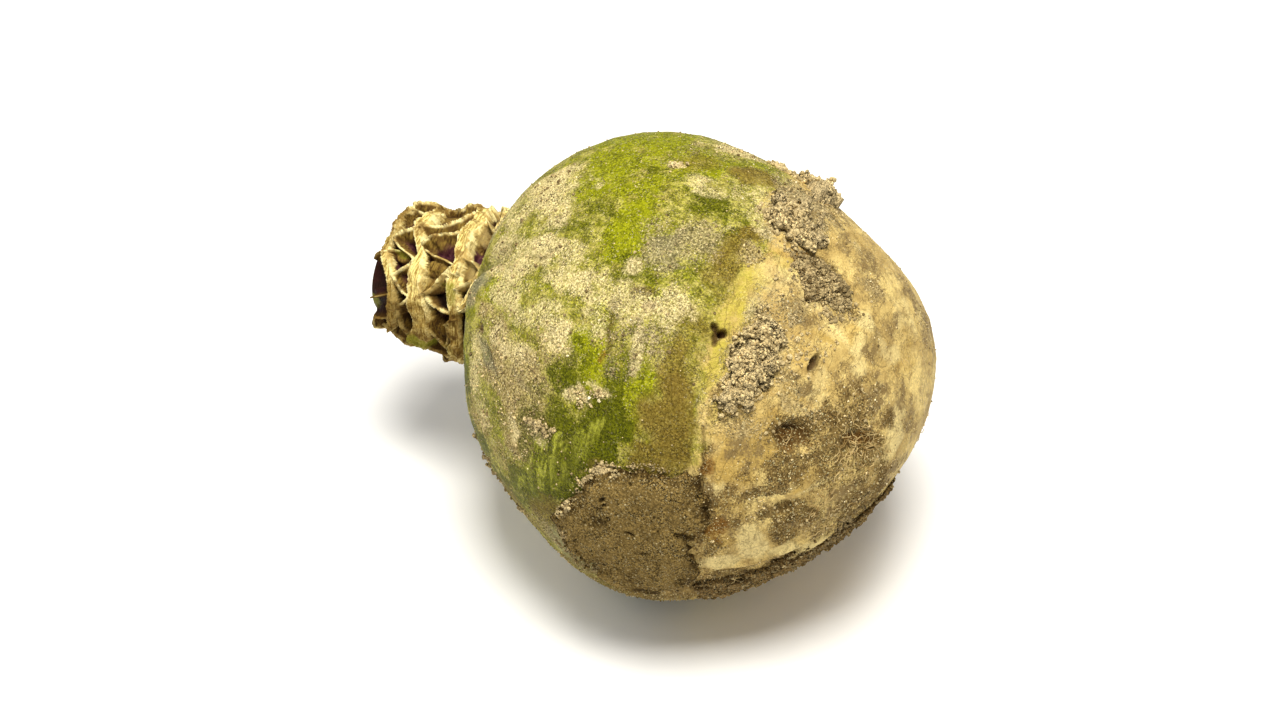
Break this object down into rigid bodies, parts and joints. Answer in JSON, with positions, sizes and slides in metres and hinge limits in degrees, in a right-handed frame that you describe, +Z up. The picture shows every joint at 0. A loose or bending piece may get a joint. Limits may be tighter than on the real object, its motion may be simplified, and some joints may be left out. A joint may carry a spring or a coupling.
{
  "type": "rutabaga",
  "caption": "Rutabaga lying on its side: lopsided round root, short neck ringed with old leaf scars, dried soil on the skin.",
  "frame": {"origin": "on the ground, in the small flat spot that the root rests on", "axes": "-X towards the neck, +X towards the root end, -Y towards the front, +Z up"},
  "size_m": [0.1498, 0.1181, 0.114],
  "materials": {
    "skin": "matte",
    "dried_soil": "matte"
  },
  "bodies": {
    "root": {"root": "skin", "soil_cake_front": "dried_soil", "soil_clods_top": "dried_soil", "soil_clods_side": "dried_soil", "soil_clods_middle": "dried_soil", "soil_underside": "dried_soil"}
  },
  "joints": []
}
